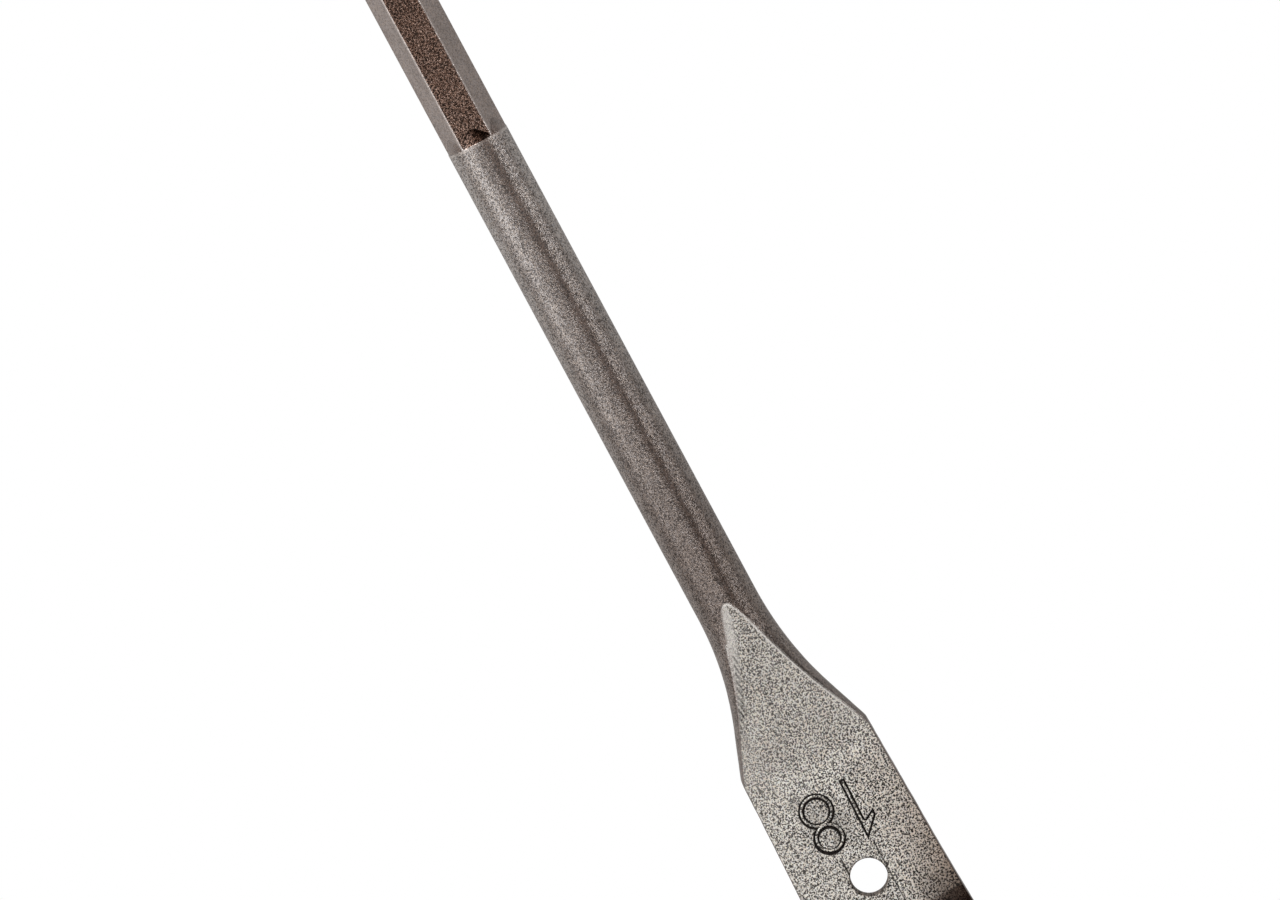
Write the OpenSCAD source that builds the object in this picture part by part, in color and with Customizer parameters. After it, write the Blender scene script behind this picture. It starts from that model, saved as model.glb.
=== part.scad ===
// Spade drill bit, forged and ground from one bar of tool steel.
// X runs along the axis from the end of the shank to the point. Z is square to the blade.
// The upper face leads on the +Y side and the lower face on the -Y side, for right-hand cutting.

/* [Shank] */
// Width of the hexagonal shank across its flats
hex_af = 6.35; // [5:0.05:7]
// Length of the hexagonal shank, from its end to the round stem
hex_l = 26; // [15:0.5:40]
// Radius around the end of the shank
end_r = 1.2; // [0.5:0.1:2]
// Length over which the middle of each flat runs out into the stem
runout_l = 1.65; // [0.8:0.05:3]
// Radius of the hollow curve on which the flats run out
runout_r = 8; // [3:0.5:20]

/* [Stem] */
// Diameter of the round stem
stem_d = 7.35; // [6.8:0.05:9]
// Length of the round stem, from the hexagon to the neck
stem_l = 59.3; // [20:0.5:250]

/* [Neck] */
// Radius of the curve on which the sides of the stem spread
flare_r = 38; // [15:1:80]
// Angle between the axis and the straight sides of the neck
flare_angle = 20; // [12:1:35]
// Angle between the axis and the pressed faces that thin the neck
ramp_angle = 6.7; // [4:0.1:15]
// Radius on which the pressed faces run into the blade
ramp_blend_r = 25; // [5:1:60]

/* [Blade] */
// Width across the lips, which is the size of the hole that the bit bores
blade_w = 18; // [14:0.5:40]
// Thickness of the blade
blade_t = 2.6; // [2:0.1:4]
// Length of the blade's sides, from the shoulder to the lips
blade_l = 34.9; // [28:0.1:60]
// Angle by which each side draws in from the lip to the shoulder
side_taper = 1.7; // [0:0.1:3]

/* [Hanging hole] */
// Diameter of the hole
hole_d = 4.25; // [2:0.05:6]
// Distance from the centre of the hole to the lips
hole_to_lip = 18.6; // [16:0.1:26]
// Distance from the axis to the centre of the hole
hole_offset = -0.4; // [-1:0.05:1]
// Width of the shallow pressed track through the hole
track_w = 4.2; // [3:0.1:8]
// Depth of the track
track_depth = 0.12; // [0.05:0.01:0.4]
// Reach of the track from the centre of the hole towards the shank
track_back = 3.3; // [0.5:0.1:6]
// Reach of the track from the centre of the hole towards the point
track_front = 5.3; // [0.5:0.1:8]

/* [Cutting end] */
// Relief angle behind each lip
lip_relief = 14; // [6:1:20]
// Relief angle behind each edge of the centre point
point_relief = 12; // [4:1:20]
// Length of the centre point, from the lips to its tip
point_l = 13.3; // [6:0.05:25]
// Width of the centre point where it meets the lips
point_w = 6.4; // [4:0.1:10]
// Width of the blunt tip
tip_w = 0.3; // [0.1:0.1:1]
// Thickness of the blunt tip
tip_t = 0.7; // [0.3:0.1:1.5]
// Radius of the corner between the centre point and each lip
root_r = 1.2; // [0.4:0.1:2]
// Length of the hollow ground into the leading face behind each lip
hollow_l = 14; // [8:0.5:16]
// Radius on which the leading face rolls over into the hollow
roll_r = 18; // [8:1:40]
// Angle at which the roll-over meets the hollow
roll_angle = 12; // [6:1:18]
// Radius of the hollow
hollow_r = 30; // [15:1:60]

/* [Hidden] */
$fn = 96;

// Steps in each arc of an extruded outline
arc_steps = 8;
// Length by which cutters pass the metal and joined solids run into each other
overlap = 2;

stem_r = stem_d / 2;
half_t = blade_t / 2;
lip_y = blade_w / 2;

// Stations along the axis
neck_x = hex_l + stem_l;
shoulder_y = lip_y - blade_l * tan(side_taper);
arc_y = stem_r + flare_r * (1 - cos(flare_angle));
shoulder_x = neck_x + flare_r * sin(flare_angle) + (shoulder_y - arc_y) / tan(flare_angle);
lip_x = shoulder_x + blade_l;
tip_x = lip_x + point_l;
hole_x = lip_x - hole_to_lip;

// Points on an arc from one angle to another
function arc(centre, r, from, to) = [
    for (i = [0 : arc_steps])
        let (angle = from + (to - from) * i / arc_steps)
        centre + r * [cos(angle), sin(angle)]
];

// The same points below the axis, in reverse order
function below(points) = [
    for (i = [len(points) - 1 : -1 : 0]) [points[i].x, -points[i].y]
];

// Turns a solid made along Z so that it lies along X
module along_x() {
    rotate([0, 90, 0]) children();
}

// Extrudes an outline drawn in X and Z across the whole width of the blade
module across_y(width) {
    rotate([90, 0, 0]) linear_extrude(height = width, center = true) children();
}

// Round bar from the end of the shank to the neck
module bar() {
    along_x() rotate_extrude() {
        square([stem_r - end_r, end_r]);
        translate([stem_r - end_r, end_r]) circle(end_r);
        translate([0, end_r]) square([stem_r, neck_x - end_r]);
    }
}

// Waste around the hexagon, ending in a hollow curve on which its flats run out into the bar
module flats_waste() {
    flat_end = [hex_af / 2, hex_l - runout_l];
    chord = [stem_r, hex_l] - flat_end;
    rise = sqrt(pow(runout_r, 2) - pow(norm(chord) / 2, 2));
    centre = flat_end + chord / 2 + rise * [chord.y, -chord.x] / norm(chord);
    difference() {
        along_x() rotate_extrude() {
            translate([0, -overlap]) square([centre.x, centre.y + overlap]);
            translate(centre) circle(runout_r);
        }
        along_x() translate([0, 0, -2 * overlap]) rotate(30)
            cylinder(d = hex_af / cos(30), h = hex_l + 4 * overlap, $fn = 6);
    }
}

// Thickness seen from the side: ramps from the stem to the blade, then the taper of the point
module thickness_outline() {
    ramp_end_x = neck_x + (stem_r - half_t) / tan(ramp_angle);
    blend_end_x = ramp_end_x + ramp_blend_r * tan(ramp_angle / 2);
    blend_centre = [blend_end_x, half_t + ramp_blend_r];
    upper = concat(
        [[neck_x, stem_r]],
        arc(blend_centre, ramp_blend_r, 270 - ramp_angle, 270),
        [[lip_x, half_t], [tip_x, tip_t / 2]]
    );
    polygon(concat(upper, below(upper)));
}

// Blade seen from above, with its sides carried back to the neck and on to the tip
module width_outline() {
    side = [for (x = [neck_x, tip_x]) [x, lip_y - (lip_x - x) * tan(side_taper)]];
    polygon(concat(side, below(side)));
}

// Section of the metal outside the rounded side of the neck, at its distance from the flare's centre
module outside_section() {
    waste = lip_y - stem_r + overlap;
    difference() {
        translate([flare_r - waste, -stem_r - overlap]) square([waste + stem_r, stem_d + 2 * overlap]);
        translate([flare_r + stem_r, 0]) circle(stem_r);
    }
}

// Waste outside the rounded side of the neck, on the +Y side
module flare_waste() {
    centreline_y = (flare_r + stem_r) * (1 - cos(flare_angle));
    straight_l = (lip_y + overlap - centreline_y) / sin(flare_angle);
    translate([neck_x, stem_r + flare_r, 0]) rotate(-90) {
        rotate_extrude(angle = flare_angle) outside_section();
        rotate(flare_angle) translate([0, straight_l, 0])
            rotate([90, 0, 0]) linear_extrude(height = straight_l) outside_section();
    }
}

// Neck and blade before grinding, with the round of the stem kept along the sides of the neck
module forging() {
    difference() {
        intersection() {
            across_y(2 * blade_w) thickness_outline();
            linear_extrude(height = 2 * stem_d, center = true) width_outline();
        }
        flare_waste();
        mirror([0, 1, 0]) flare_waste();
    }
}

// Point of the leaning cutter's own outline whose trace on a level plane is p
function leaning(p) = [
    p.x * cos(lip_relief),
    (p.y - p.x * sin(lip_relief) * tan(point_relief)) * cos(point_relief)
];

// Notch beside the centre point, which leans back to leave relief behind the lip and the edge.
// It is drawn at the height of the tip's upper face, from where the lip rises to the leading face.
module point_notch() {
    lip_back = (blade_t - tip_t) / 2 * tan(lip_relief);
    edge_angle = atan((point_w - tip_w) / 2 / (point_l + lip_back));
    root_y = point_w / 2 + root_r * (1 - sin(edge_angle)) / cos(edge_angle);
    far = [point_l + overlap, lip_y + 2 * overlap];
    edge_end = [far.x, tip_w / 2 - overlap * tan(edge_angle)];
    outline = concat(
        [[-lip_back, far.y]],
        arc([root_r - lip_back, root_y], root_r, 180, 270 - edge_angle),
        [edge_end, far]
    );
    translate([lip_x, 0, tip_t / 2]) rotate([-point_relief, lip_relief, 0])
        linear_extrude(height = 2 * (point_l + blade_w), center = true)
            polygon([for (p = outline) leaning(p)]);
}

// Hollow behind the lip in the upper face, with an inner end that slopes up to the point
module lip_hollow() {
    start = [lip_x - hollow_l, half_t];
    rolled = arc(start - [0, roll_r], roll_r, 90, 90 - roll_angle);
    low = rolled[arc_steps];
    bowl_centre = low + hollow_r * [sin(roll_angle), cos(roll_angle)];
    bowl_end = asin((lip_x + overlap - bowl_centre.x) / hollow_r);
    bowl = arc(bowl_centre, hollow_r, 270 - roll_angle, 270 + bowl_end);
    top_z = half_t + hollow_r;
    intersection() {
        across_y(2 * blade_w) polygon(concat(rolled, bowl, [[lip_x + overlap, top_z], [start.x, top_z]]));
        translate([start.x - overlap, point_w / 2, half_t]) rotate([45, 0, 0])
            translate([0, 0, -blade_w]) cube([hollow_l + 2 * overlap, 2 * blade_w, 2 * blade_w]);
    }
}

// Hanging hole through the blade
module hanging_hole() {
    translate([hole_x, hole_offset, 0]) cylinder(d = hole_d, h = 2 * blade_t, center = true);
}

// Shallow track pressed into the upper face around the hole
module track() {
    translate([hole_x - track_back, -track_w / 2, half_t - track_depth])
        cube([track_back + track_front, track_w, overlap]);
}

// The whole bit
module spade_bit() {
    color([0.6, 0.57, 0.54]) {
        difference() {
            bar();
            flats_waste();
        }
        difference() {
            forging();
            for (turn = [0, 180]) rotate([turn, 0, 0]) {
                point_notch();
                lip_hollow();
            }
            track();
            hanging_hole();
        }
    }
}

spade_bit();
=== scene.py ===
"""Spade drill bit: its forged and ground surface, raised number, finish, light and camera."""
import math

import bmesh
import bpy
from mathutils import Matrix, Vector, noise


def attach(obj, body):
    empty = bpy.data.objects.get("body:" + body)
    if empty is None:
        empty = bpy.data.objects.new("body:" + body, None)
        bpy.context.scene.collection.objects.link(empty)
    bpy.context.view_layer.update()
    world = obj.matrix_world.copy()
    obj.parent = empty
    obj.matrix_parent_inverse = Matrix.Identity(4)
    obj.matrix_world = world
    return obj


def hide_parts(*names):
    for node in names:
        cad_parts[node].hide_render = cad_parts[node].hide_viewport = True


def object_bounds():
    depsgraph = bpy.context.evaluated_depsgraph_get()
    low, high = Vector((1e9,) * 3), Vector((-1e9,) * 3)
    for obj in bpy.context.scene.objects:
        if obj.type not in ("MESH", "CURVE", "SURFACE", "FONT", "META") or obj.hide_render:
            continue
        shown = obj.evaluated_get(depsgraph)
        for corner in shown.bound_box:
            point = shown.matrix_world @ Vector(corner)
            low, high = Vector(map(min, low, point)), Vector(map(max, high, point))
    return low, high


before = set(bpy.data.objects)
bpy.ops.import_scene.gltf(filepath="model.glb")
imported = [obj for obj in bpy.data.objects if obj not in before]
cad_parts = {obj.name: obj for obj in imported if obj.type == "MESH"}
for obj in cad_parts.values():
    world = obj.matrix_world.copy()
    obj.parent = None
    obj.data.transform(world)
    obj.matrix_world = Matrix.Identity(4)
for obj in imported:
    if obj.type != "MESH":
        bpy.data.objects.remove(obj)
cad_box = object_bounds()

MM = 0.001

# Sizes of the bit in millimetres and degrees, as in the part's source
HEX_AF = 6.35
HEX_L = 26.0
END_R = 1.2
RUNOUT_L = 1.65
RUNOUT_R = 8.0
STEM_R = 3.675
STEM_L = 59.3
FLARE_R = 38.0
FLARE_ANGLE = math.radians(20)
RAMP_ANGLE = math.radians(6.7)
RAMP_BLEND_R = 25.0
HALF_T = 1.3
LIP_Y = 9.0
BLADE_L = 34.9
SIDE_TAPER = math.radians(1.7)
HOLE_R = 2.125
HOLE_TO_LIP = 18.6
HOLE_OFFSET = -0.4
TRACK_W = 4.2
TRACK_DEPTH = 0.12
TRACK_BACK = 3.3
TRACK_FRONT = 5.3
LIP_RELIEF = math.radians(14)
POINT_RELIEF = math.radians(12)
POINT_L = 13.3
POINT_W = 6.4
TIP_W = 0.3
TIP_T = 0.7
ROOT_R = 1.2
HOLLOW_L = 14.0
ROLL_R = 18.0
ROLL_ANGLE = math.radians(12)
HOLLOW_R = 30.0

# Length by which the pressed faces start before the sides of the stem spread
RAMP_LEAD = 0.45

# Stations along the axis
NECK_X = HEX_L + STEM_L
SHOULDER_Y = LIP_Y - BLADE_L * math.tan(SIDE_TAPER)
FLARE_ARC_X = NECK_X + FLARE_R * math.sin(FLARE_ANGLE)
FLARE_ARC_Y = STEM_R + FLARE_R * (1 - math.cos(FLARE_ANGLE))
SHOULDER_X = FLARE_ARC_X + (SHOULDER_Y - FLARE_ARC_Y) / math.tan(FLARE_ANGLE)
LIP_X = SHOULDER_X + BLADE_L
TIP_X = LIP_X + POINT_L
HOLE_X = LIP_X - HOLE_TO_LIP
RAMP_X = NECK_X - RAMP_LEAD
RAMP_END_X = RAMP_X + (STEM_R - HALF_T) / math.tan(RAMP_ANGLE)
BLEND_END_X = RAMP_END_X + RAMP_BLEND_R * math.tan(RAMP_ANGLE / 2)
BLEND_START_X = BLEND_END_X - RAMP_BLEND_R * math.sin(RAMP_ANGLE)

# Soft edges, in millimetres. A pair of numbers, here and below, says where a change starts and ends.
HEX_CORNER_R = 0.25
HOLE_RIM_R = 0.22
EDGE_R = 0.16
ROLLED_EDGE_R = 0.5
ROLLED_EDGE_FADE = (NECK_X + 3, NECK_X + 13)
# Largest share of the face's half width and of its height that a soft edge takes
EDGE_SHARE_OF_WIDTH = 0.4
EDGE_SHARE_OF_HEIGHT = 0.3

# Shift of the forged blade to one side, and of the track
FORGED_DRIFT = -0.1
DRIFT_RISE = (NECK_X + 4, SHOULDER_X)
DRIFT_FALL = (HOLE_X, LIP_X - 6)
TRACK_SHIFT = -0.14
# How far the track's walls lean, and length of its fade towards the shank
TRACK_DRAFT = 0.06
TRACK_FADE = 1.6

# Ragged sides of the blade: depth, end, and length over which they fade
RAGGED_DEPTH = 0.07
RAGGED_END_X = LIP_X - 8
RAGGED_FADE_L = 8
# Waves along the ragged sides: share, number to a millimetre, and place in the noise
RAGGED_WAVES = ((0.6, 0.55, 1.7), (0.4, 1.7, 9.1))
RAGGED_SIDE_PLACE = 7.3

# Waves of the whole forged surface: depth, where they are, and number to a millimetre
WAVE_DEPTH = 0.05
WAVE_RISE = (HEX_L, HEX_L + 4)
WAVE_FALL = (LIP_X - 14, LIP_X - 6)
SLOW_WAVES = 0.28
QUICK_WAVES = 0.9
# Shares of their depth: the same everywhere, from the slow waves, and from the quick ones
EVEN_SHARE = 0.5
SLOW_SHARE = 0.35
QUICK_SHARE = 0.15
# Share of the waves on the stem, and length of the neck over which they grow
STEM_WAVE_SHARE = 0.25
WAVE_GROWTH_L = 8

# Folds where the metal flowed along one edge: depth, distance between them and slope against the axis
FOLD_DEPTH = 0.1
FOLD_PITCH = 0.45
FOLD_SLOPE = 0.14
FOLD_SHARPNESS = 4
FOLD_WANDER = 1.2
FOLD_WANDER_WAVES = 0.5
# Where the folds are along the axis, and inwards from the edge
FOLD_RISE = (NECK_X + 4, NECK_X + 6)
FOLD_FALL = (NECK_X + 12, NECK_X + 17)
FOLD_OUTER = (0.05, 0.2)
FOLD_INNER = (0.7, 1.3)

# Dent near the start of the marked face
DENT_PLACE = Vector((88.7, 0.45))
DENT_R = 0.6
DENT_DEPTH = 0.06

QUARTER = math.radians(90)
# Length by which the wastes of the cutting end pass the metal
BEYOND = 2.0

# Steps of the mesh: around a soft edge, across half of each face, and around arcs
EDGE_STEPS = 4
MARKED_FACE_STEPS = 60
OTHER_FACE_STEPS = 24
END_STEPS = 9
TONGUE_STEPS = 20
ARC_STEPS = 16
BOWL_STEPS = 24
HOLE_STEPS = 96
HOLE_RIM_STEPS = 5
LOOP_STEPS = 84
# Degrees around half of the bar from its top to its bottom, closer together at the hexagon's corners
HALF_RING = sorted(
    set(range(-90, 91, 3)) | {corner + aside for corner in (60, 0, -60) for aside in (-2, -1, 1, 2)},
    reverse=True,
)
# Stretches of the mesh along the axis: start, end and number of steps
SHANK_STRETCHES = (
    (END_R + 0.4, HEX_L - RUNOUT_L - 0.5, 20),
    (HEX_L - RUNOUT_L - 0.35, HEX_L, 40),
    (HEX_L + 0.08, HEX_L + 0.2, 1),
    (HEX_L + 0.6, RAMP_X, 60),
)
TONGUE_L = 2.5
BLADE_STRETCHES = (
    (RAMP_X + TONGUE_L, SHOULDER_X - 4, 60),
    (SHOULDER_X - 4, BLEND_END_X + 1, 50),
    (BLEND_END_X + 1, LIP_X, 80),
    (LIP_X, TIP_X, 16),
)
# Digits of a millimetre to which corners share a place
WELD_DIGITS = 5
# Cut corners that lie closer together than this become one
SLIVER = 0.001


class Shell:
    """Collects faces by their corner points and joins the corners that share a place."""

    def __init__(self):
        self.places = {}
        self.points = []
        self.faces = []

    def corner(self, point):
        key = tuple(round(value, WELD_DIGITS) for value in point)
        if key not in self.places:
            self.places[key] = len(self.points)
            self.points.append(point)
        return self.places[key]

    def face(self, points):
        corners = []
        for point in points:
            index = self.corner(point)
            if index not in corners:
                corners.append(index)
        if len(corners) > 2:
            self.faces.append(corners)

    def strip(self, first, second):
        for i in range(len(first) - 1):
            self.face([first[i], first[i + 1], second[i + 1], second[i]])

    def mesh(self, name):
        made = bpy.data.meshes.new(name)
        made.from_pydata(self.points, [], self.faces)
        made.validate()
        return made


def face_outwards(mesh):
    """Turns all faces of a closed mesh outwards."""
    work = bmesh.new()
    work.from_mesh(mesh)
    bmesh.ops.recalc_face_normals(work, faces=work.faces)
    work.to_mesh(mesh)
    work.free()


def steps(first, last, count):
    """Evenly spaced values from the first to the last."""
    return [first + (last - first) * i / count for i in range(count + 1)]


def hex_radius(angle):
    """Distance from the axis to the hexagon, whose corners lie at whole multiples of 60 degrees."""
    from_corner = math.radians(abs((angle + 30) % 60 - 30))
    centre = (HEX_AF / 2 - HEX_CORNER_R) / math.cos(math.radians(30))
    tangent = math.atan2(HEX_CORNER_R / 2, centre + HEX_CORNER_R * math.cos(math.radians(30)))
    if from_corner < tangent:
        inside = HEX_CORNER_R ** 2 - (centre * math.sin(from_corner)) ** 2
        return centre * math.cos(from_corner) + math.sqrt(inside)
    return HEX_AF / 2 / math.cos(math.radians(30) - from_corner)


def runout_radius(x):
    """Radius of the hollow curve on which the flats run out into the stem."""
    start = Vector((HEX_AF / 2, HEX_L - RUNOUT_L))
    chord = Vector((STEM_R, HEX_L)) - start
    rise = math.sqrt(RUNOUT_R ** 2 - (chord.length / 2) ** 2)
    centre = start + chord / 2 + rise * Vector((chord.y, -chord.x)) / chord.length
    if x < centre.y:
        return 0.0
    return centre.x - math.sqrt(RUNOUT_R ** 2 - (x - centre.y) ** 2)


def bar_radius(x):
    """Radius of the round bar at x, with the soft end of the shank."""
    if x < END_R:
        return STEM_R - END_R + math.sqrt(END_R ** 2 - (END_R - x) ** 2)
    return STEM_R


def shank_half(x, side):
    """Half of the shank's or stem's outline at x, from its top to its bottom."""
    half = []
    for angle in HALF_RING:
        radius = bar_radius(x)
        if x < HEX_L:
            radius = min(radius, max(hex_radius(angle), runout_radius(x)))
        turn = math.radians(angle)
        half.append((x, side * radius * math.cos(turn), radius * math.sin(turn)))
    return half


def half_thickness(x):
    """Half of the bit's thickness at x: ramp, blend, blade and then the taper of the point."""
    if x < BLEND_START_X:
        return STEM_R - (x - RAMP_X) * math.tan(RAMP_ANGLE)
    if x < BLEND_END_X:
        return HALF_T + RAMP_BLEND_R - math.sqrt(RAMP_BLEND_R ** 2 - (BLEND_END_X - x) ** 2)
    if x < LIP_X:
        return HALF_T
    return HALF_T + (TIP_T / 2 - HALF_T) * (x - LIP_X) / POINT_L


def side_y(x, side):
    """Half width of the blade, with the slightly ragged edge of the forging."""
    ragged = 0.0
    for share, frequency, place in RAGGED_WAVES:
        ragged += share * noise.noise((x * frequency, side * RAGGED_SIDE_PLACE, place))
    fade = min(1.0, max(0.0, (RAGGED_END_X - x) / RAGGED_FADE_L))
    return LIP_Y - (LIP_X - x) * math.tan(SIDE_TAPER) - RAGGED_DEPTH * fade * (0.5 - 0.5 * ragged)


def flank_y(x, z):
    """Half width of the neck at a height, on the round side that spreads from the stem."""
    centre = FLARE_R + STEM_R
    reach = centre - math.sqrt(max(0.0, STEM_R ** 2 - z ** 2))
    along = max(0.0, x - NECK_X)
    turn = reach * math.sin(FLARE_ANGLE)
    if along <= turn:
        return centre - math.sqrt(reach ** 2 - along ** 2)
    return centre - reach * math.cos(FLARE_ANGLE) + (along - turn) * math.tan(FLARE_ANGLE)


def ease(value, low, high):
    """Smooth rise from 0 at low to 1 at high."""
    share = min(1.0, max(0.0, (value - low) / (high - low)))
    return share * share * (3 - 2 * share)


def hump(value, rise, fall):
    """Smooth rise from 0 to 1 between one pair of places, and fall between another."""
    return ease(value, *rise) * (1 - ease(value, *fall))


def forged_drift(x):
    """Slight set of the forged blade to one side, which is ground away at the lips."""
    return FORGED_DRIFT * hump(x, DRIFT_RISE, DRIFT_FALL)


def edge_radius(x, side):
    """Radius of the pressed face's edge, which is rolled over on one side near the stem."""
    if side > 0:
        return EDGE_R
    return EDGE_R + (ROLLED_EDGE_R - EDGE_R) * (1 - ease(x, *ROLLED_EDGE_FADE))


def bend(start, corner, end, share):
    """Point on the soft edge between two faces that meet at a corner."""
    back = 1 - share
    return tuple(
        back * back * a + 2 * back * share * b + share * share * c
        for a, b, c in zip(start, corner, end)
    )


def face_edge(x, side, height):
    """Half width of the pressed face at x up to its sharp edge, and the radius of that edge."""
    top_y = min(flank_y(x, height), side_y(x, side))
    return top_y, min(edge_radius(x, side), EDGE_SHARE_OF_WIDTH * top_y, EDGE_SHARE_OF_HEIGHT * height)


def blade_half(x, side):
    """Half of the neck's or blade's outline at x, from its top to its bottom."""
    height = half_thickness(x)
    limit = side_y(x, side)
    top_y, edge = face_edge(x, side, height)
    low = math.asin(min(1.0, (height - edge) / STEM_R))
    flank = []
    for angle in HALF_RING:
        z = STEM_R * math.sin(low * angle / 90)
        flank.append((min(flank_y(x, z), limit), z))
    inner = (top_y - edge, height)
    soft = [bend(inner, (top_y, height), flank[0], i / EDGE_STEPS) for i in range(1, EDGE_STEPS)]
    upper = [(y, height) for y in steps(0.0, inner[0], MARKED_FACE_STEPS)] + soft
    lower = [(y, -height) for y in steps(0.0, inner[0], OTHER_FACE_STEPS)] + [(y, -z) for y, z in soft]
    outline = upper + flank + lower[::-1]
    drift = forged_drift(x)
    return [(x, side * y + drift, z) for y, z in outline]


def bit_shell():
    """The bit from the end of its shank to its tip, before the wastes are cut from it."""
    shank_x = [END_R * (1 - math.cos(turn)) for turn in steps(0.0, QUARTER, END_STEPS)]
    for stretch in SHANK_STRETCHES:
        shank_x += steps(*stretch)
    blade_x = [RAMP_X + TONGUE_L * share ** 2 for share in steps(0.0, 1.0, TONGUE_STEPS)]
    for stretch in BLADE_STRETCHES:
        blade_x += steps(*stretch)[1:]
    shell = Shell()
    for make, stations in ((shank_half, shank_x), (blade_half, blade_x)):
        for side in (1, -1):
            rows = [make(x, side) for x in stations]
            for first, second in zip(rows, rows[1:]):
                shell.strip(first, second)
    for make, x in ((shank_half, shank_x[0]), (blade_half, blade_x[-1])):
        shell.face(make(x, 1) + make(x, -1)[::-1])
    mesh = shell.mesh("spade_bit_surface")
    face_outwards(mesh)
    return mesh


def roughen(mesh):
    """Small hollows of the forging, pressed into the surface so that it stays inside its true size."""
    normals = [Vector(vertex.normal) for vertex in mesh.vertices]
    for vertex, normal in zip(mesh.vertices, normals):
        place = vertex.co
        slow = noise.noise(place * SLOW_WAVES)
        quick = noise.noise(place * QUICK_WAVES)
        waves = WAVE_DEPTH * (EVEN_SHARE + SLOW_SHARE * slow + QUICK_SHARE * quick)
        on_neck = min(1.0, max(STEM_WAVE_SHARE, (place.x - NECK_X) / WAVE_GROWTH_L))
        depth = waves * hump(place.x, WAVE_RISE, WAVE_FALL) * on_neck
        depth += FOLD_DEPTH * fold_share(place) + DENT_DEPTH * dent_share(place)
        vertex.co = place - normal * depth


def fold_share(place):
    """How deep in a fold a place on the marked face lies, from 0 to 1, along the rolled edge."""
    x, y, z = place
    if x < FOLD_RISE[0] or x > FOLD_FALL[1] or y > 0 or z < HALF_T:
        return 0.0
    from_edge = y + flank_y(x, half_thickness(x)) - forged_drift(x)
    share = hump(x, FOLD_RISE, FOLD_FALL) * hump(from_edge, FOLD_OUTER, FOLD_INNER)
    across_folds = (y - FOLD_SLOPE * x) / FOLD_PITCH
    wander = FOLD_WANDER * noise.noise(place * FOLD_WANDER_WAVES)
    wave = math.sin(2 * math.pi * across_folds + wander)
    return share * (0.5 + 0.5 * wave) ** FOLD_SHARPNESS


def dent_share(place):
    """How deep in the dent of the marked face a place lies, from 0 to 1."""
    if place.z < HALF_T:
        return 0.0
    return 1 - ease((place.xy - DENT_PLACE).length, 0.0, DENT_R)


def prism(name, *levels):
    """Solid through matching outlines, one above the other."""
    shell = Shell()
    shell.face(levels[0])
    shell.face(levels[-1])
    for lower, upper in zip(levels, levels[1:]):
        shell.strip(lower + lower[:1], upper + upper[:1])
    mesh = shell.mesh(name)
    face_outwards(mesh)
    return mesh


def arc(centre, radius, start, end, count=ARC_STEPS):
    return [
        Vector(centre) + radius * Vector((math.cos(a), math.sin(a)))
        for a in steps(start, end, count)
    ]


def point_notch(turn):
    """Waste beside the centre point, leaning back to leave relief behind the lip and the edge."""
    height = TIP_T / 2
    lip_back = (HALF_T - height) * math.tan(LIP_RELIEF)
    edge_angle = math.atan((POINT_W - TIP_W) / 2 / (POINT_L + lip_back))
    root_y = POINT_W / 2 + ROOT_R * (1 - math.sin(edge_angle)) / math.cos(edge_angle)
    outline = [Vector((-lip_back, LIP_Y + 2 * BEYOND))]
    outline += arc((ROOT_R - lip_back, root_y), ROOT_R, 2 * QUARTER, 3 * QUARTER - edge_angle)
    outline.append(Vector((POINT_L + BEYOND, TIP_W / 2 - BEYOND * math.tan(edge_angle))))
    outline.append(Vector((POINT_L + BEYOND, LIP_Y + 2 * BEYOND)))
    lean = Vector((math.tan(LIP_RELIEF), math.tan(POINT_RELIEF) / math.cos(LIP_RELIEF)))

    def trace(z):
        flat = [p + (z - height) * lean for p in outline]
        return [(LIP_X + p.x, turn * p.y, turn * z) for p in flat]

    return prism("notch", trace(-2 * HALF_T), trace(2 * HALF_T))


def lip_hollow(turn):
    """Waste of the hollow ground into the leading face behind a lip."""
    start = Vector((LIP_X - HOLLOW_L, HALF_T))
    rolled = arc(start - Vector((0, ROLL_R)), ROLL_R, QUARTER, QUARTER - ROLL_ANGLE)
    bowl_centre = rolled[-1] + HOLLOW_R * Vector((math.sin(ROLL_ANGLE), math.cos(ROLL_ANGLE)))
    bowl_end = math.asin((LIP_X + BEYOND - bowl_centre.x) / HOLLOW_R)
    bowl = arc(bowl_centre, HOLLOW_R, 3 * QUARTER - ROLL_ANGLE, 3 * QUARTER + bowl_end, BOWL_STEPS)
    top = HALF_T + BEYOND
    section = rolled + bowl[1:] + [Vector((LIP_X + BEYOND, top)), Vector((start.x, top))]
    inner = [(p.x, turn * (POINT_W / 2 + HALF_T - p.y), turn * p.y) for p in section]
    outer = [(p.x, turn * 2 * LIP_Y, turn * p.y) for p in section]
    return prism("hollow", inner, outer)


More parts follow.
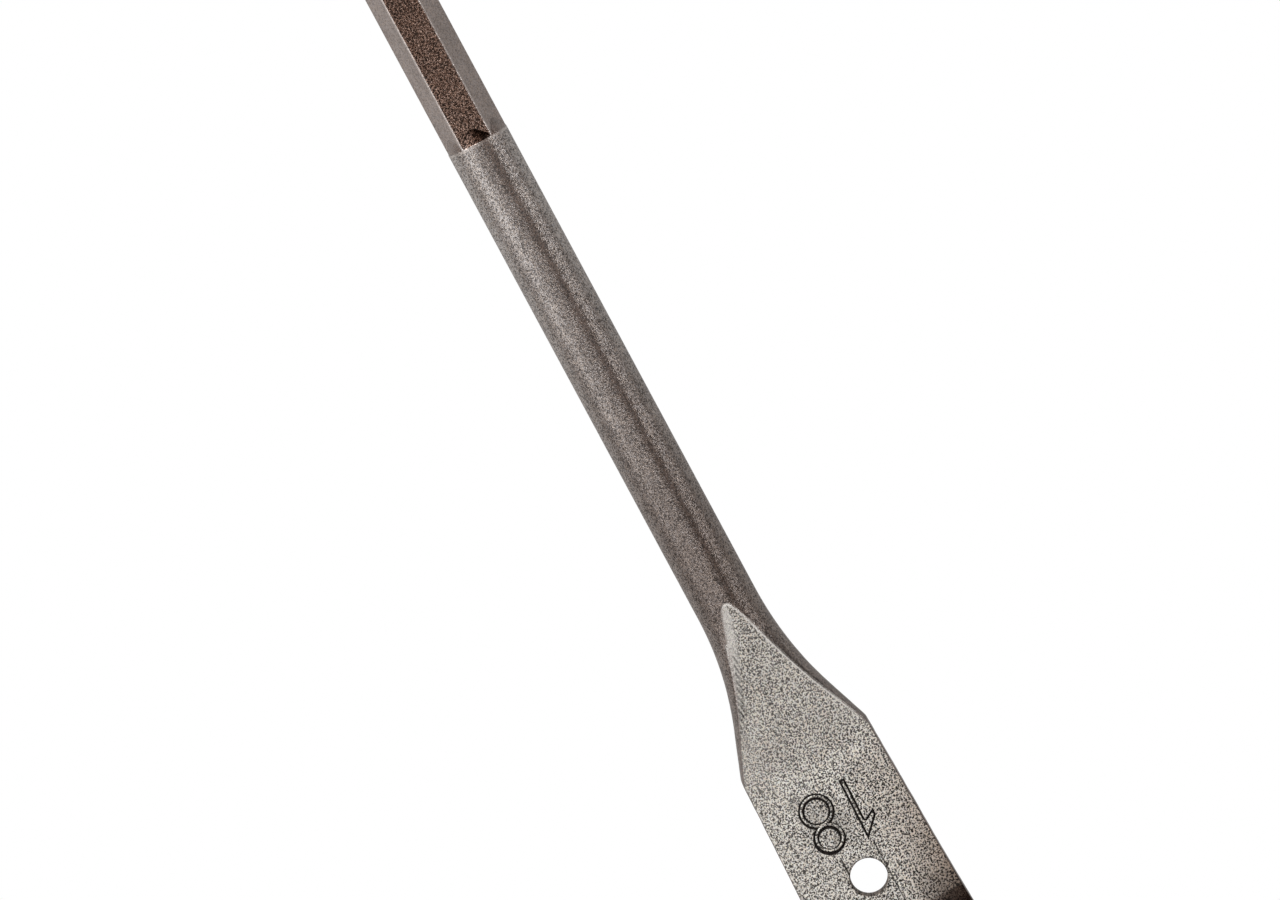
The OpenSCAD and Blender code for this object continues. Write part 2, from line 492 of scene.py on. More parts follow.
def hole_waste():
    """Waste of the hanging hole, with its softly rolled rims."""
    rim = [
        (HOLE_R + HOLE_RIM_R * (1 - math.cos(a)), HALF_T - HOLE_RIM_R + HOLE_RIM_R * math.sin(a))
        for a in steps(0.0, QUARTER, HOLE_RIM_STEPS)
    ]
    spread = 0.05
    above = 1.0
    rim.append((HOLE_R + HOLE_RIM_R + spread, HALF_T + above))
    profile = [(r, -z) for r, z in reversed(rim)] + rim
    turns = steps(0.0, 4 * QUARTER, HOLE_STEPS)
    rings = []
    for r, z in profile:
        ring = [(HOLE_X + r * math.cos(a), HOLE_OFFSET + r * math.sin(a), z) for a in turns[:-1]]
        rings.append(ring + ring[:1])
    shell = Shell()
    for first, second in zip(rings, rings[1:]):
        shell.strip(first, second)
    shell.face(rings[0])
    shell.face(rings[-1])
    mesh = shell.mesh("hole")
    face_outwards(mesh)
    return mesh


def track_waste():
    """Waste of the shallow pressed track through the hole, which fades in towards the shank."""
    floor_z = HALF_T - TRACK_DEPTH
    top_z = HALF_T + TRACK_DEPTH
    back = HOLE_X - TRACK_BACK

    def level(z, start, wider):
        end = HOLE_X + TRACK_FRONT + wider
        half = TRACK_W / 2 + wider
        corners = ((start, -half), (end, -half), (end, half), (start, half))
        return [(x, y + TRACK_SHIFT, z) for x, y in corners]

    floor = level(floor_z, back + TRACK_FADE, -TRACK_DRAFT)
    return prism("track", floor, level(top_z, back - TRACK_FADE, TRACK_DRAFT))


def cut(mesh, wastes):
    """The mesh without the wastes, with the slivers along the cuts welded away."""
    target = bpy.data.objects.new("cutting", mesh)
    bpy.context.collection.objects.link(target)
    tools = []
    for waste in wastes:
        tool = bpy.data.objects.new("waste", waste)
        bpy.context.collection.objects.link(tool)
        tools.append(tool)
        modifier = target.modifiers.new("cut", "BOOLEAN")
        modifier.operation = "DIFFERENCE"
        modifier.solver = "EXACT"
        modifier.object = tool
    graph = bpy.context.evaluated_depsgraph_get()
    result = bpy.data.meshes.new_from_object(target.evaluated_get(graph))
    for made in [target] + tools:
        data = made.data
        bpy.data.objects.remove(made)
        bpy.data.meshes.remove(data)
    welded = bmesh.new()
    welded.from_mesh(result)
    bmesh.ops.remove_doubles(welded, verts=welded.verts, dist=SLIVER)
    welded.to_mesh(result)
    welded.free()
    return result


# Raised number on the marked face, in millimetres along and across the blade.
# Each loop has a centre, a radius, and the place of its trough against it.
LOOPS = (
    (Vector((110.72, -2.13)), 1.71, Vector((0.06, -0.02))),
    (Vector((114.06, -2.2)), 1.5, Vector((0.13, -0.08))),
)
ONE_OUTLINE = [Vector(corner) for corner in (
    (109.01, 1.82), (115.95, 1.7), (114.1, 3.5), (113.6, 3.5),
    (114.26, 2.37), (114.01, 2.12), (109.01, 2.24),
)]
# Sections of a loop, across its line and up from the face
LOOP_RIDGE = (
    (-0.14, -0.23), (-0.13, -0.02), (-0.08, 0.08), (0.0, 0.1), (0.08, 0.08), (0.13, -0.02), (0.14, -0.23),
)
LOOP_TROUGH = ((-0.46, 0.4), (-0.38, -0.01), (-0.32, -0.16), (0.32, -0.16), (0.38, -0.01), (0.46, 0.4))
# Levels of the straight figure: how far its outline grows, and the height above the face
ONE_RIDGE = ((-0.07, -0.23), (-0.08, -0.02), (-0.12, 0.06))
ONE_TROUGH = ((0.1, -0.16), (0.17, -0.01), (0.25, 0.4))
# Grid on which the number is melted together
NUMBER_VOXEL = 0.036


def loop(centre, radius, section):
    """Ring with a section on the marked face."""
    rows = []
    for turn in steps(0.0, 4 * QUARTER, LOOP_STEPS)[:-1]:
        outwards = Vector((math.cos(turn), math.sin(turn)))
        row = []
        for across, up in section:
            flat = centre + (radius + across) * outwards
            row.append((flat.x, flat.y, HALF_T + up))
        rows.append(row + row[:1])
    rows.append(rows[0])
    shell = Shell()
    for first, second in zip(rows, rows[1:]):
        shell.strip(first, second)
    mesh = shell.mesh("loop")
    face_outwards(mesh)
    return mesh


def grow(outline, amount):
    """Outline with each of its sides moved outwards."""
    grown = []
    for i, point in enumerate(outline):
        before = (point - outline[i - 1]).normalized()
        after = (outline[(i + 1) % len(outline)] - point).normalized()
        outwards = Vector((before.y + after.y, -before.x - after.x))
        grown.append(point + outwards * amount / (1 + before.dot(after)))
    return grown


def straight_figure(levels):
    """The number's straight figure, or its trough, through its levels."""
    outlines = []
    for growth, up in levels:
        outlines.append([(p.x, p.y, HALF_T + up) for p in grow(ONE_OUTLINE, growth)])
    return prism("straight_figure", *outlines)


def number_troughs():
    """Wastes of the troughs pressed around the number."""
    troughs = [loop(centre + aside, radius, LOOP_TROUGH) for centre, radius, aside in LOOPS]
    return troughs + [straight_figure(ONE_TROUGH)]


def number_mesh():
    """The raised 18, melted into one surface with soft joins."""
    points = []
    faces = []
    ridges = [loop(centre, radius, LOOP_RIDGE) for centre, radius, _ in LOOPS]
    for mesh in ridges + [straight_figure(ONE_RIDGE)]:
        first = len(points)
        points += [tuple(vertex.co) for vertex in mesh.vertices]
        faces += [[first + index for index in polygon.vertices] for polygon in mesh.polygons]
        bpy.data.meshes.remove(mesh)
    joined = bpy.data.meshes.new("ridges")
    joined.from_pydata(points, [], faces)
    holder = bpy.data.objects.new("ridges", joined)
    bpy.context.collection.objects.link(holder)
    melt = holder.modifiers.new("melt", "REMESH")
    melt.mode = "VOXEL"
    melt.voxel_size = NUMBER_VOXEL
    soften = holder.modifiers.new("soften", "SMOOTH")
    soften.factor = 0.5
    soften.iterations = 3
    graph = bpy.context.evaluated_depsgraph_get()
    result = bpy.data.meshes.new_from_object(holder.evaluated_get(graph))
    bpy.data.objects.remove(holder)
    bpy.data.meshes.remove(joined)
    return result


# Marks that the mesh carries for its material: the pressed faces, a painted highlight on their rims, and
# painted shade
FACE_MARKS = ("pressed", "rim", "painted_shade")
EDGE_MARGIN = 0.04
# Painted highlight along the rim of a pressed face: width, share of it that is full, and where it fades
RIM_WIDTH = 0.25
RIM_CORE = 0.35
RIM_FADE = (SHOULDER_X - 3, SHOULDER_X + 2)
# Painted highlight on the rim of the rolled edge: further width, strength, and where each of them is lost
ROLLED_RIM_WIDTH = 0.8
ROLLED_RIM_TAPER = (NECK_X + 3, NECK_X + 15)
ROLLED_RIM_STRENGTH = 0.7
ROLLED_RIM_LOSS = 0.6
ROLLED_RIM_FADE = (NECK_X + 5, NECK_X + 15)
# Painted highlight line on the rolled edge, along the axis and inwards from the edge
ROLLED_LINE_FADE = (NECK_X + 5, NECK_X + 9)
ROLLED_LINE_EDGE = (-0.15, 0.1)
# Painted shade in the dent, and in a band below the edge that isn't rolled
DENT_SHADE = 0.6
EDGE_SHADE = 0.6
EDGE_SHADE_BAND = (0.1, 0.6)
EDGE_SHADE_RISE = (NECK_X + 3, NECK_X + 6)
EDGE_SHADE_FALL = (NECK_X + 12, NECK_X + 17)


def rim_highlight_share(x, side, inside_edge):
    """Strength of the painted highlight on the rim of a pressed face, from 0 to 1, at a distance inwards from
    its edge.
    """
    if side > 0:
        fade = 1 - ease(x, *RIM_FADE)
        return fade * (1 - ease(inside_edge, RIM_CORE * RIM_WIDTH, RIM_WIDTH))
    width = RIM_WIDTH + ROLLED_RIM_WIDTH * (1 - ease(x, *ROLLED_RIM_TAPER))
    fade = ROLLED_RIM_STRENGTH - ROLLED_RIM_LOSS * ease(x, *ROLLED_RIM_FADE)
    rolled = fade * (1 - ease(inside_edge, RIM_CORE * width, width))
    rolled_line = (1 - ease(x, *ROLLED_LINE_FADE)) * (1 - ease(inside_edge, *ROLLED_LINE_EDGE))
    return max(rolled, rolled_line)


def mark_faces(mesh):
    """Marks the pressed and ground faces, a painted highlight on their rims, and painted shade in their folds
    and dent and below an edge.
    """
    for name in FACE_MARKS:
        mesh.attributes.new(name, "FLOAT", "POINT")
    pressed, rim, painted_shade = [mesh.attributes[name].data for name in FACE_MARKS]
    for i, vertex in enumerate(mesh.vertices):
        x, y, z = vertex.co
        if x <= RAMP_X:
            continue
        y -= forged_drift(x)
        side = 1 if y > 0 else -1
        height = half_thickness(x)
        top_y, edge = face_edge(x, side, height)
        inside_edge = top_y - edge - abs(y)
        if inside_edge > -EDGE_MARGIN:
            pressed[i].value = 1.0
            # painted shade in the folds and the dent
            painted_shade[i].value = max(fold_share(vertex.co), DENT_SHADE * dent_share(vertex.co))
        elif side > 0:
            # painted shade in a band below the edge
            below = EDGE_SHADE * (1 - ease(height - abs(z), *EDGE_SHADE_BAND))
            painted_shade[i].value = below * hump(x, EDGE_SHADE_RISE, EDGE_SHADE_FALL)
        if abs(z) > height - edge - EDGE_MARGIN and inside_edge > -edge - EDGE_MARGIN:
            # painted highlight on the rims
            rim[i].value = rim_highlight_share(x, side, inside_edge)


def finish_piece(name, mesh, material, sharp_degrees):
    """The mesh as a piece in metres, with its material, smooth up to an angle between faces."""
    mesh.transform(Matrix.Scale(MM, 4))
    mesh.shade_smooth()
    mesh.set_sharp_from_angle(angle=math.radians(sharp_degrees))
    mesh.materials.clear()
    mesh.materials.append(material)
    piece = bpy.data.objects.new(name, mesh)
    bpy.context.collection.objects.link(piece)
    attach(piece, "root")
    return piece


class Nodes:
    """Adds the nodes of a material or of the sky, and links them."""

    def __init__(self, owner):
        owner.use_nodes = True
        self.tree = owner.node_tree
        self.tree.nodes.clear()

    def add(self, kind, inputs=None, **settings):
        made = self.tree.nodes.new(kind)
        for name, value in settings.items():
            setattr(made, name, value)
        for socket, value in (inputs or {}).items():
            if isinstance(value, bpy.types.NodeSocket):
                self.tree.links.new(value, made.inputs[socket])
            else:
                made.inputs[socket].default_value = value
        return made

    def spread(self, value, from_low, from_high, to_low=0.0, to_high=1.0):
        """Value carried from one range to another, held at its ends."""
        sockets = {0: value, 1: from_low, 2: from_high, 3: to_low, 4: to_high}
        return self.add("ShaderNodeMapRange", sockets).outputs[0]

    def choose(self, share, low, high):
        """One value where the share is 0, and another where it is 1."""
        return self.spread(share, 0.0, 1.0, low, high)

    def reach(self, value, low, high, to_low=0.0, to_high=1.0):
        """Place in millimetres carried from one range to another, held at its ends."""
        return self.spread(value, low * MM, high * MM, to_low, to_high)

    def between(self, value, low, high, soft):
        """1 where a place lies between two others in millimetres, with soft ends."""
        rise = self.reach(value, low - soft, low + soft)
        return self.times(rise, self.reach(value, high - soft, high + soft, 1.0, 0.0))

    def math(self, operation, first, second=0.0):
        return self.add("ShaderNodeMath", {0: first, 1: second}, operation=operation).outputs[0]

    def times(self, first, *others):
        product = first
        for other in others:
            product = self.math("MULTIPLY", product, other)
        return product

    def plus(self, first, second):
        return self.math("ADD", first, second)

    def most(self, first, second):
        return self.math("MAXIMUM", first, second)

    def size(self, value):
        return self.math("ABSOLUTE", value)

    def vector(self, operation, *values):
        return self.add("ShaderNodeVectorMath", dict(enumerate(values)), operation=operation)

    def mix(self, share, first, second, blend_type="MIX"):
        sockets = {0: share, 6: first, 7: second}
        made = self.add("ShaderNodeMix", sockets, data_type="RGBA", blend_type=blend_type)
        return made.outputs[2]

    def stain(self, share, colour, tint):
        return self.mix(share, colour, tint, "MULTIPLY")

    def grain(self, place, size, detail, rough):
        """Noise whose grains are about the given size in millimetres."""
        sockets = {"Vector": place, "Scale": 1 / (size * MM), "Detail": detail, "Roughness": rough}
        return self.add("ShaderNodeTexNoise", sockets).outputs[0]

    def cells(self, place, size, dimensions="3D"):
        """Cells of about the given size in millimetres, with a chance colour each."""
        sockets = {"Vector": place, "Scale": 1 / (size * MM)}
        return self.add("ShaderNodeTexVoronoi", sockets, voronoi_dimensions=dimensions).outputs


# Grains of the blasted steel, in millimetres
DIMPLE_SIZE = 0.115
DIMPLE_HEIGHT = 0.05
PEPPER_SIZE = 0.24
PIT_SIZE = 0.17
PATCH_SIZE = 3.0

# Colours of the steel's dark and bright grains
BLADE_GRAINS = ((0.02, 0.018, 0.016, 1), (1.0, 0.985, 0.925, 1))
STEM_GRAINS = ((0.2, 0.188, 0.181, 1), (0.8, 0.763, 0.735, 1))
HEX_SIDE_GRAINS = ((0.38, 0.335, 0.313, 1), (0.61, 0.54, 0.508, 1))
# The hexagon's level flats: darker and browner than its sides, partly oxide and partly painted shade
HEX_TOP_OXIDE_AND_SHADE_GRAINS = ((0.08, 0.057, 0.046, 1), (0.7, 0.514, 0.427, 1))
COOL_TINT = (0.95, 0.995, 1.05, 1)
WARM_TINT = (1.05, 1.0, 0.94, 1)

# Ranges over which grains turn from dark to bright, and the share of chance in the peppered ones
TONE_RANGE = (0.2, 0.6)
PEPPER_RANGE = (0.73, 0.85)
PEPPER_CHANCE = 0.8
# Range of the patches, and the brightness at each end
PATCH_RANGE = (0.3, 0.7, 0.88, 1.06)

# Finish of the stem and of the blade, and how the hexagon and the dark and bright grains differ
STEM_METALLIC = 1.0
BLADE_METALLIC = 0.6
STEM_ROUGHNESS = 0.3
BLADE_ROUGHNESS = 0.55
HEX_ROUGHNESS_CHANGE = -0.05
GRAIN_ROUGHNESS_CHANGE = (0.08, -0.08)
STEM_RELIEF = 0.44
BLADE_RELIEF = 1.0
PIT_SHARE = 0.6

# Colours and strengths of the marks on the steel: a heat tint, and painted highlights and painted shade
# Colour of the painted highlight on the rims of the pressed faces
RIM_HIGHLIGHT_COLOUR = (1.0, 1.0, 0.97, 1)
# Tint of the stem towards the neck: partly heat tint, partly painted shade
HEAT_TINT_AND_SHADE = (0.16, 0.08, 0.04, 1)
# Tint of the painted shade on the run-outs of the flats
RUNOUT_SHADE_TINT = (0.07, 0.053, 0.046, 1)
RUNOUT_SHADE_SIDES = 0.25
# Colour of the painted highlight along the hexagon's corners
CORNER_HIGHLIGHT_COLOUR = (1.0, 0.95, 0.92, 1)
# Colour and strength of the painted highlight across the step where the hexagon ends
STEP_HIGHLIGHT_COLOUR = (0.95, 0.9, 0.86, 1)
STEP_HIGHLIGHT_STRENGTH = 0.5
# Tint of the painted shade towards the blade's leading side
LEADING_SHADE_TINT = (0.55, 0.46, 0.4, 1)
# Tint of the painted shade in the ground hollow behind the lip
HOLLOW_SHADE_TINT = (0.12, 0.09, 0.078, 1)
# Tint of the painted shade in the troughs, the folds and the dent, along the track, in the crease and below
# an edge
PAINTED_SHADE_TINT = (0.03, 0.025, 0.023, 1)
# Strength of the painted shade that the mesh marks
PAINTED_SHADE_STRENGTH = 0.9
# Tint of the painted shade on the hole's wall and rim
HOLE_SHADE_TINT = (0.28, 0.24, 0.22, 1)

# Ranges of chance and of the way a face looks, and the share at each end
RIM_SPARKLE = (0.2, 0.6, 0.6, 1.0)
TOWARDS_SHANK = (-0.07, -0.015, 1.0, 0.0)
LEVEL_FACE = (0.7, 0.9, 0.0, 1.0)

# Reaches of the marks: two places in millimetres, and the share at each
HEX_END = (HEX_L - 0.05, HEX_L + 0.05, 1.0, 0.0)
LEADING_UP = (-0.2, 0.2, -1.0, 1.0)
HEAT_AND_SHADE_ALONG = (36, 78, 0.0, 0.48)
# Painted light on the pressed faces, along and across
TRAILING_LIGHT_ALONG = (102, 110, 1.0, 0.25)
TRAILING_LIGHT_ACROSS = (-6.5, -1.0, 0.3, 0.12)
RUNOUT_SHADE_ACROSS = (-1.6, 0.2, 0.82, 1.0)
CORNER_ALONG = (END_R, END_R + 0.6, 0.0, 1.0)
CORNER_UP = (2.7, 2.9, 0.0, 0.75)
LEADING_SHADE_ALONG = (103, 124, 0.0, 1.0)
LEADING_SHADE_ACROSS = (2.0, 8.5, 0.0, 1.0)
HOLLOW_SHADE_ALONG = (121.5, 127.0, 0.0, 0.9)
HOLLOW_SHADE_ACROSS = (2.5, 6.0, 0.0, 1.0)
HOLE_SHADE_REACH = (HOLE_R + 0.05, HOLE_R + 0.2, 1.0, 0.0)
# The same for lines on the marked face, where the share above is the strength of each line
MARKED_FACE_UP = (0.5, 0.6, 0.0)

# Stretches of the marks: start, end and softness of both, in millimetres
RUNOUT_SHADE_STRETCH = (22.0, HEX_L - 0.02, 0.02)
CORNER_STRETCH = (1.74, 1.93, 0.04)
STEP_HIGHLIGHT_STRETCH = (HEX_L + 0.05, HEX_L + 0.3, 0.06)
NUMBER_ALONG = (108.3, 117.0, 0.05)
NUMBER_ACROSS = (-4.6, 4.2, 0.05)
TROUGH_UP = (0.4, HALF_T - 0.05, 0.03)

# Painted shade in lines along the track's walls: place across the blade, half width, start, end and strength
TRACK_LINES = (
    (-TRACK_W / 2 + TRACK_SHIFT, 0.12, 116.8, 119.2, 0.9),
    (TRACK_W / 2 + TRACK_SHIFT, 0.09, 116.6, 125.2, 0.8),
)
LINE_SOFT = 0.05
LINE_END_SOFT = 0.2

# Painted shade of a faint crease along the marked face: slope against the axis, place, length, width and
# strength
CREASE_SLOPE = 0.1
CREASE_START = 101.4
CREASE_END = 105.0
CREASE_END_SOFT = 0.4
CREASE_Y = 0.1 - CREASE_SLOPE * CREASE_START
CREASE_HALF_WIDTH = 0.05
CREASE_SOFT = 0.03
CREASE_STRENGTH = 0.6


class Steel(Nodes):
    """Nodes of blasted tool steel: darker and smoother on the hexagon, brighter and grainier on the blade."""

    def __init__(self, material):
        super().__init__(material)
        self.place = self.add("ShaderNodeTexCoord").outputs["Object"]
        self.along, self.across, self.up = self.add("ShaderNodeSeparateXYZ", {0: self.place}).outputs
        normal = self.add("ShaderNodeNewGeometry").outputs["Normal"]
        facing = self.add("ShaderNodeSeparateXYZ", {0: normal}).outputs
        self.towards_shank = self.spread(facing[0], *TOWARDS_SHANK)
        self.level = self.spread(self.size(facing[2]), *LEVEL_FACE)
        self.leading = self.times(self.across, self.reach(self.up, *LEADING_UP))
        self.on_hex = self.reach(self.along, *HEX_END)
        # The mesh's marks: the pressed faces, a painted highlight on their rims, and painted shade
        self.on_blade, self.rim, self.painted_shade = [
            self.add("ShaderNodeAttribute", attribute_name=name).outputs["Fac"] for name in FACE_MARKS
        ]
        self.dimples = self.cells(self.place, DIMPLE_SIZE)
        self.chance = self.add("ShaderNodeSeparateColor", {0: self.dimples["Color"]}).outputs
        self.tone = self.spread(self.chance[0], *TONE_RANGE)
        pepper = self.cells(self.place, PEPPER_SIZE, "2D")
        peppered = self.plus(pepper["Distance"], self.times(self.chance[0], PEPPER_CHANCE))
        self.pepper_tone = self.spread(peppered, *PEPPER_RANGE)

    def base_colour(self):
        """Dark and bright grains of the stem, the blade and the hexagon; the stem darkens towards the neck
        with heat tint and painted shade, the blade gets painted light towards the stem and the trailing side,
        and the hexagon's level flats are darker with oxide and painted shade.
        """
        stem = self.mix(self.tone, *STEM_GRAINS)
        # darker and browner towards the neck: partly heat tint, partly painted shade where the stem's
        # highlights fade
        stem = self.stain(self.reach(self.along, *HEAT_AND_SHADE_ALONG), stem, HEAT_TINT_AND_SHADE)
        hex_sides = self.mix(self.tone, *HEX_SIDE_GRAINS)
        # the level flats darker and browner than the sides: partly oxide, partly painted shade
        hexagon = self.mix(self.level, hex_sides, self.mix(self.pepper_tone, *HEX_TOP_OXIDE_AND_SHADE_GRAINS))
        # painted light: the pressed faces are brighter towards the stem and the trailing side
        pale = self.times(self.reach(self.leading, *TRAILING_LIGHT_ACROSS), self.reach(self.along, *TRAILING_LIGHT_ALONG))
        blade = self.mix(self.plus(self.pepper_tone, pale), *BLADE_GRAINS)
        colour = self.mix(self.on_hex, self.mix(self.on_blade, stem, blade), hexagon)
        hue = self.mix(self.chance[1], COOL_TINT, WARM_TINT)
        patches = self.grain(self.place, PATCH_SIZE, detail=3.0, rough=0.55)
        colour = self.vector("MULTIPLY", colour, hue).outputs[0]
        return self.vector("MULTIPLY", colour, self.spread(patches, *PATCH_RANGE)).outputs[0]

    def painted_rim_light_and_shade(self, colour):
        """Painted highlight on the rims of the pressed faces, and the painted shade that the mesh marks."""
        sparkle = self.spread(self.chance[2], *RIM_SPARKLE)
        # painted highlight, with glints at random, on the rims
        colour = self.mix(self.times(self.rim, sparkle), colour, RIM_HIGHLIGHT_COLOUR)
        # painted shade in the folds, the dent and below an edge
        return self.stain(self.times(self.painted_shade, PAINTED_SHADE_STRENGTH), colour, PAINTED_SHADE_TINT)

    def shank_marks(self, colour):
        """Painted shade where the flats run out towards the shank, a painted highlight along the hexagon's
        corners, and a painted highlight across the start of the stem.
        """
        # painted shade on the run-outs that face the shank
        runout_shade = self.times(
            self.towards_shank,
            self.between(self.along, *RUNOUT_SHADE_STRETCH),
            self.choose(self.level, RUNOUT_SHADE_SIDES, 1.0),
            self.reach(self.across, *RUNOUT_SHADE_ACROSS),
        )
        colour = self.stain(runout_shade, colour, RUNOUT_SHADE_TINT)
        # painted highlight along the hexagon's corners
        corner = self.times(
            self.between(self.size(self.across), *CORNER_STRETCH),
            self.reach(self.size(self.up), *CORNER_UP),
            self.reach(self.along, *CORNER_ALONG),
            self.on_hex,
        )
        colour = self.mix(corner, colour, CORNER_HIGHLIGHT_COLOUR)
        # painted highlight across the step where the hexagon ends
        step_highlight = self.times(self.between(self.along, *STEP_HIGHLIGHT_STRETCH), STEP_HIGHLIGHT_STRENGTH)
        return self.mix(step_highlight, colour, STEP_HIGHLIGHT_COLOUR)

    def recess_shade(self):
        """Share of painted shade in the troughs around the number, along the track's walls and in the crease.
        """
        recess_shade = self.times(
            self.between(self.along, *NUMBER_ALONG),
            self.between(self.across, *NUMBER_ACROSS),
            self.between(self.up, *TROUGH_UP),
        )
        for line_y, half_width, start, end, strength in TRACK_LINES:
            line = self.times(
                self.between(self.across, line_y - half_width, line_y + half_width, LINE_SOFT),
                self.between(self.along, start, end, LINE_END_SOFT),
                self.reach(self.up, *MARKED_FACE_UP, strength),
            )
            recess_shade = self.most(recess_shade, line)
        aside = self.plus(self.across, self.times(self.along, -CREASE_SLOPE))
        crease = self.times(
            self.between(aside, CREASE_Y - CREASE_HALF_WIDTH, CREASE_Y + CREASE_HALF_WIDTH, CREASE_SOFT),
            self.between(self.along, CREASE_START, CREASE_END, CREASE_END_SOFT),
            self.reach(self.up, *MARKED_FACE_UP, CREASE_STRENGTH),
        )
        return self.most(recess_shade, crease)

    def blade_marks(self, colour):
        """Painted shade towards the leading side and in the ground hollow, painted shade in the recesses, and
        painted shade on the hole's wall.
        """
        # painted shade towards the leading side
        leading_shade = self.times(
            self.reach(self.leading, *LEADING_SHADE_ACROSS),
            self.reach(self.along, *LEADING_SHADE_ALONG),
        )
        colour = self.stain(leading_shade, colour, LEADING_SHADE_TINT)
        # painted shade in the ground hollow behind the lip
        ground = self.times(
            self.reach(self.leading, *HOLLOW_SHADE_ACROSS),
            self.reach(self.along, *HOLLOW_SHADE_ALONG),
        )
        colour = self.stain(ground, colour, HOLLOW_SHADE_TINT)
        # painted shade in the troughs, along the track's walls and in the crease
        colour = self.stain(self.recess_shade(), colour, PAINTED_SHADE_TINT)
        # painted shade on the hole's wall and rim
        from_hole = self.vector("SUBTRACT", self.place, (HOLE_X * MM, HOLE_OFFSET * MM, 0)).outputs[0]
        from_hole = self.vector("MULTIPLY", from_hole, (1, 1, 0)).outputs[0]
        distance = self.vector("LENGTH", from_hole).outputs["Value"]
        return self.stain(self.reach(distance, *HOLE_SHADE_REACH), colour, HOLE_SHADE_TINT)

    def shade(self, colour):
        """Shader with the roughness and the relief of the grains."""
        roughness = self.plus(
            self.choose(self.on_blade, STEM_ROUGHNESS, BLADE_ROUGHNESS),
            self.times(self.on_hex, HEX_ROUGHNESS_CHANGE),
        )
        pits = self.grain(self.place, PIT_SIZE, detail=1.0, rough=0.5)
        bump = self.add("ShaderNodeBump", {
            "Strength": self.choose(self.on_blade, STEM_RELIEF, BLADE_RELIEF),
            "Distance": DIMPLE_HEIGHT * MM,
            "Height": self.plus(self.dimples["Distance"], self.times(pits, PIT_SHARE)),
        })
        shader = self.add("ShaderNodeBsdfPrincipled", {
            "Base Color": colour,
            "Metallic": self.choose(self.on_blade, STEM_METALLIC, BLADE_METALLIC),
            "Roughness": self.plus(roughness, self.choose(self.tone, *GRAIN_ROUGHNESS_CHANGE)),
            "Normal": bump.outputs[0],
        })
        self.add("ShaderNodeOutputMaterial", {0: shader.outputs[0]})


def steel_material():
    material = bpy.data.materials.new("blasted_steel")
    nodes = Steel(material)
    colour = nodes.base_colour()
    colour = nodes.painted_rim_light_and_shade(colour)
    colour = nodes.shank_marks(colour)
    colour = nodes.blade_marks(colour)
    nodes.shade(colour)
    return material


# Light, in the units of the floor's white. The floor's glow goes from one value to another across the bit.
FLOOR_GLOW = (-8, 8, 0.5, 0.37)
FLOOR_TINT = (1.0, 0.955, 0.93, 1)
SKY_GLOW = 0.15
SKY_TINT = (1.0, 0.76, 0.66, 1)
WHITE = (1, 1, 1, 1)
FLOOR_SIZE = 8.0


def floor_material():
    """Plain pale studio floor that shows white, and lights the bit from below more softly."""
    material = bpy.data.materials.new("pale_floor")
    nodes = Nodes(material)
    place = nodes.add("ShaderNodeTexCoord").outputs["Object"]
    across = nodes.add("ShaderNodeSeparateXYZ", {0: place}).outputs[1]
    seen = nodes.add("ShaderNodeLightPath").outputs["Is Camera Ray"]
    strength = nodes.choose(seen, nodes.reach(across, *FLOOR_GLOW), 1.0)
    tint = nodes.mix(seen, FLOOR_TINT, WHITE)
    glow = nodes.add("ShaderNodeEmission", {"Color": tint, "Strength": strength})
    nodes.add("ShaderNodeOutputMaterial", {0: glow.outputs[0]})
    return material


def make_floor():
    """Floor at the lowest point of the bit."""
    low = cad_box[0][2]
    half = FLOOR_SIZE / 2
    mesh = bpy.data.meshes.new("floor")
    corners = [(-half, -half, low), (half, -half, low), (half, half, low), (-half, half, low)]
    mesh.from_pydata(corners, [], [(0, 1, 2, 3)])
    mesh.materials.append(floor_material())
    floor = bpy.data.objects.new("floor", mesh)
    bpy.context.collection.objects.link(floor)


def make_sky():
    """Sky that shows white, and fills the shadows with a weak warm light."""
    world = bpy.data.worlds.new("studio")
    nodes = Nodes(world)
    seen = nodes.add("ShaderNodeLightPath").outputs["Is Camera Ray"]
    strength = nodes.choose(seen, SKY_GLOW, 1.0)
    tint = nodes.mix(seen, SKY_TINT, WHITE)
    sky = nodes.add("ShaderNodeBackground", {"Color": tint, "Strength": strength})
    nodes.add("ShaderNodeOutputWorld", {0: sky.outputs[0]})
    bpy.context.scene.world = world


def softbox(name, middle, away, distance, length, width, glow):
    """Soft light that faces a point from a direction, with its length along the bit."""
    data = bpy.data.lights.new(name, "AREA")
    data.shape = "RECTANGLE"
    data.size = length
    data.size_y = width
    data.energy = glow * math.pi * width * length
    box = bpy.data.objects.new(name, data)
    bpy.context.collection.objects.link(box)
    direction = Vector(away).normalized()
    along = Vector((1, 0, 0))
    along = (along - direction * along.dot(direction)).normalized()
    across = direction.cross(along)
    axes = Matrix((along, across, direction)).transposed()
    box.matrix_world = Matrix.Translation(Vector(middle) + direction * distance) @ axes.to_4x4()
    box.visible_camera = False


# Point that the camera looks at
VIEW_MIDDLE = Vector((65.41, -0.40, 0.0)) * MM
# Slope of the view against the blade's normal, along the axis and across it
VIEW_LEAN_X = -math.tan(math.radians(5.8))
VIEW_LEAN_Y = math.tan(math.radians(3.3))
# Angle between the axis and the picture's upright, and millimetres across the picture
VIEW_TURN = math.radians(28.292)
VIEW_WIDTH = 143.78
VIEW_DISTANCE = 2.0
SENSOR_WIDTH = 36.0


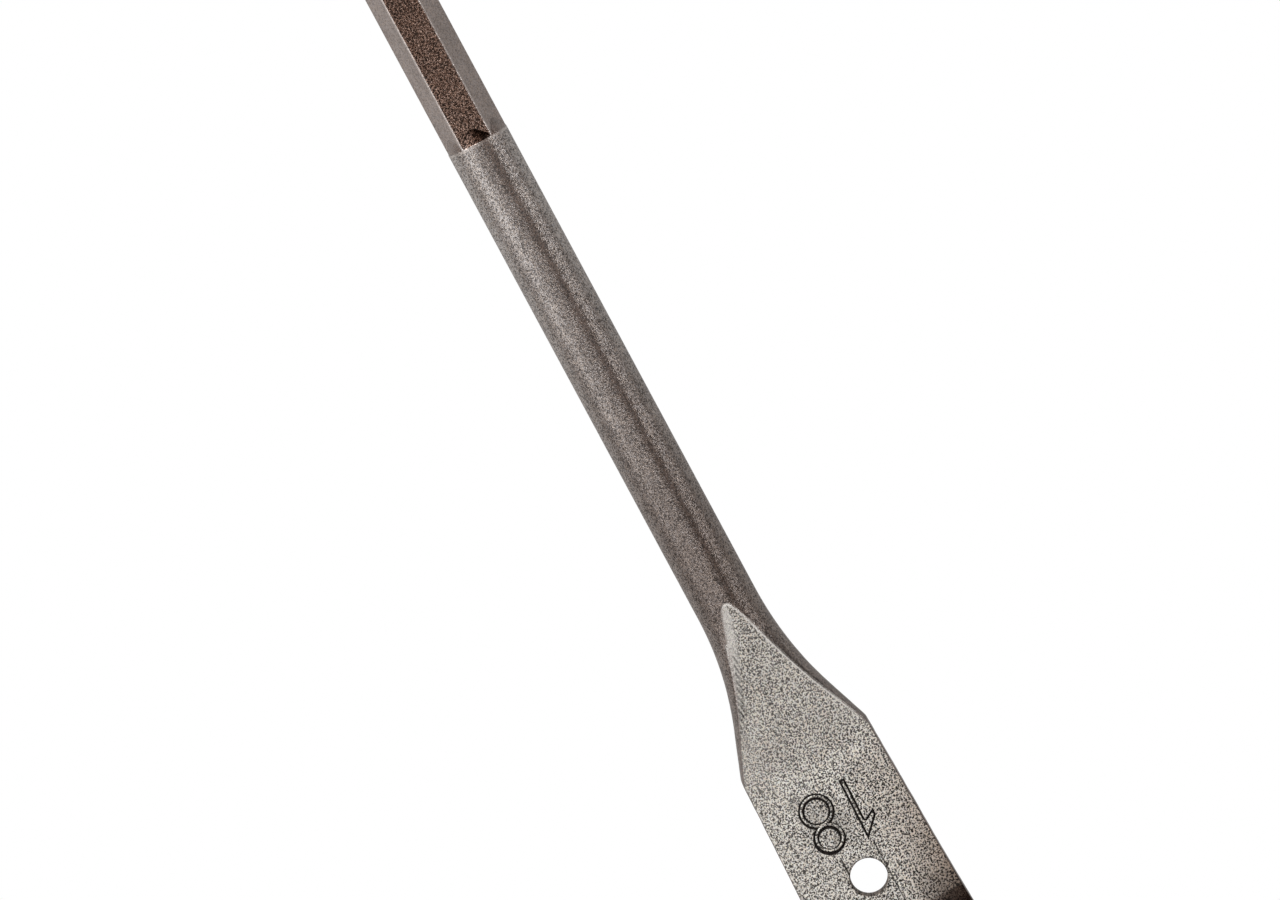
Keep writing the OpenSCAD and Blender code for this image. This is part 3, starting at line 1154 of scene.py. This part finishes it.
def make_lights():
    """Softboxes with their places and sizes in metres."""
    def from_side(angle):
        turn = math.radians(angle)
        return (0, math.sin(turn), math.cos(turn))

    near_shank = VIEW_MIDDLE + Vector((-0.11, 0, 0))
    past_tip = Vector((0.16, 0, 0))
    softbox("broad_softbox", near_shank, from_side(-50), distance=0.4, length=0.42, width=0.3, glow=0.83)
    softbox("strip_softbox", VIEW_MIDDLE, from_side(62), distance=1.0, length=1.4, width=0.15, glow=1.65)
    softbox("shank_softbox", VIEW_MIDDLE, (-1.0, -0.35, 0.85), distance=1.0, length=0.8, width=0.8, glow=4.2)
    softbox("ramp_softbox", past_tip, (0, -0.05, 1), distance=0.2, length=0.12, width=0.1, glow=1.1)


def make_camera():
    """Camera at the photograph's viewing angle."""
    data = bpy.data.cameras.new("camera")
    data.sensor_width = SENSOR_WIDTH
    data.lens = SENSOR_WIDTH * VIEW_DISTANCE / (VIEW_WIDTH * MM)
    data.clip_start = 0.01
    data.clip_end = 50
    camera = bpy.data.objects.new("camera", data)
    bpy.context.collection.objects.link(camera)
    back = Vector((VIEW_LEAN_X, VIEW_LEAN_Y, 1)).normalized()
    along = Vector((1, 0, 0))
    along = (along - back * along.dot(back)).normalized()
    across = back.cross(along)
    right = math.sin(VIEW_TURN) * along + math.cos(VIEW_TURN) * across
    up = math.sin(VIEW_TURN) * across - math.cos(VIEW_TURN) * along
    axes = Matrix((right, up, back)).transposed()
    camera.matrix_world = Matrix.Translation(VIEW_MIDDLE + back * VIEW_DISTANCE) @ axes.to_4x4()
    bpy.context.scene.camera = camera


bpy.context.scene.view_settings.view_transform = "Standard"
make_camera()
make_sky()
make_floor()
make_lights()

steel = steel_material()
surface = bit_shell()
roughen(surface)
wastes = [hole_waste(), track_waste()] + number_troughs()
for turn in (1, -1):
    wastes += [point_notch(turn), lip_hollow(turn)]
body = cut(surface, wastes)
mark_faces(body)
digits = number_mesh()
mark_faces(digits)
bit = finish_piece("spade_bit_body", body, steel, sharp_degrees=32)
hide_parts("spade_bit")
finish_piece("raised_number", digits, steel, sharp_degrees=60)
